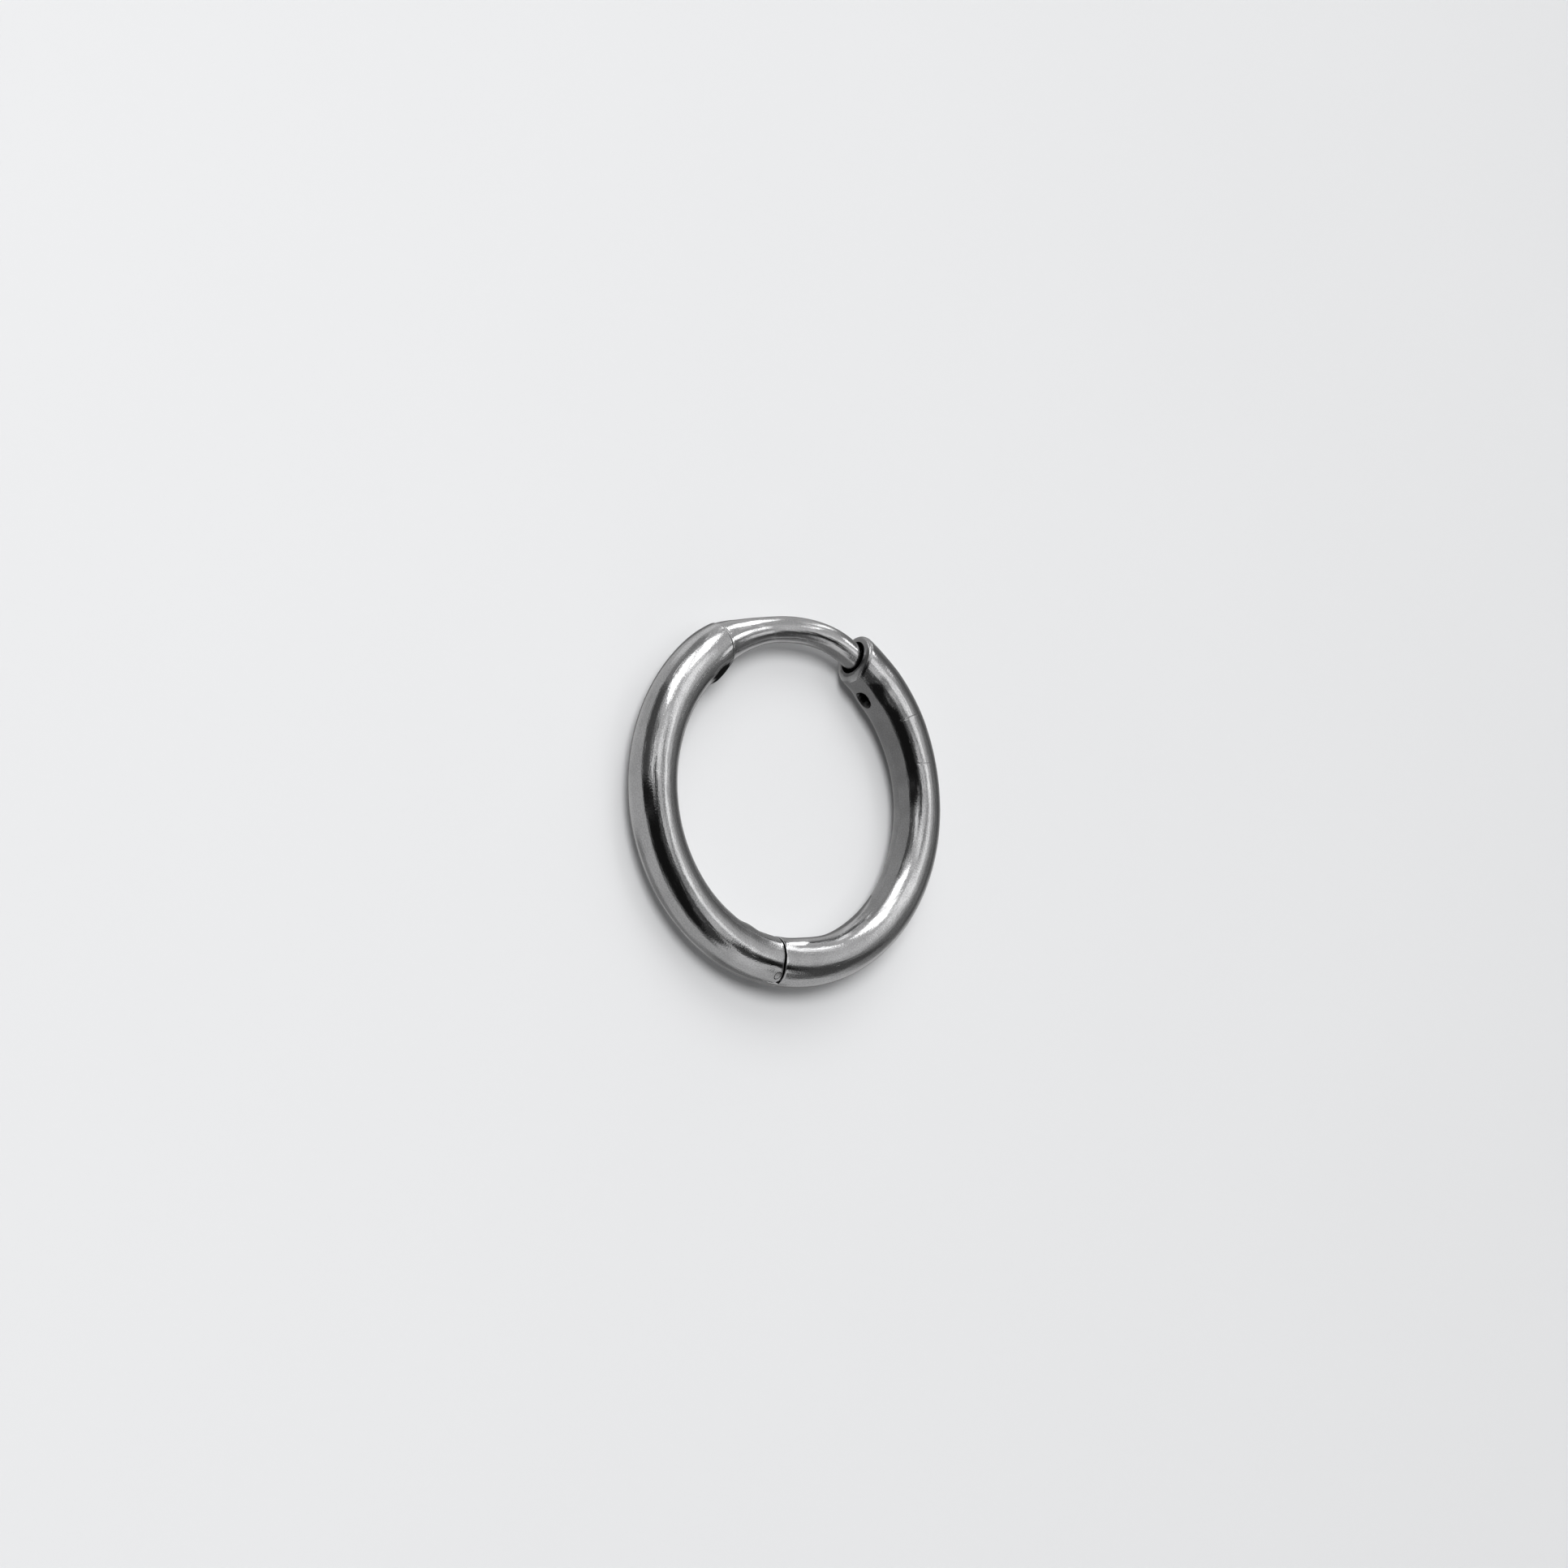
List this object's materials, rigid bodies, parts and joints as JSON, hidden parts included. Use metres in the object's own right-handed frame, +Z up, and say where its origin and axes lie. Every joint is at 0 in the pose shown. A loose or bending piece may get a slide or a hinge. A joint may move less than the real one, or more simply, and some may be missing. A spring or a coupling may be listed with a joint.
{
  "type": "hinged hoop earring",
  "caption": "Small hinged hoop earring: a round tube split at a hinge, with a thin ear post that plugs into the open tube end.",
  "frame": {"origin": "centre of the hoop, on the surface that it lies on", "axes": "+Z up along the hoop's axis, +Y from the hinge towards the ear post, +X towards the half with the open tube end"},
  "size_m": [0.012, 0.0117, 0.0016],
  "materials": {
    "polished_steel": "polished stainless steel with fine wear scratches"
  },
  "bodies": {
    "right_half": {"right_arc": "polished_steel"},
    "left_half": {"left_arc": "polished_steel", "ear_post": "polished_steel", "hinge_pin": "polished_steel"}
  },
  "joints": [
    {"name": "hoop_hinge", "type": "hinge", "parent": "right_half", "child": "left_half", "pos_m": [-0.00013, -0.00575, 0.00081], "axis": [0, 0, 1], "range_deg": [0, 70]}
  ]
}
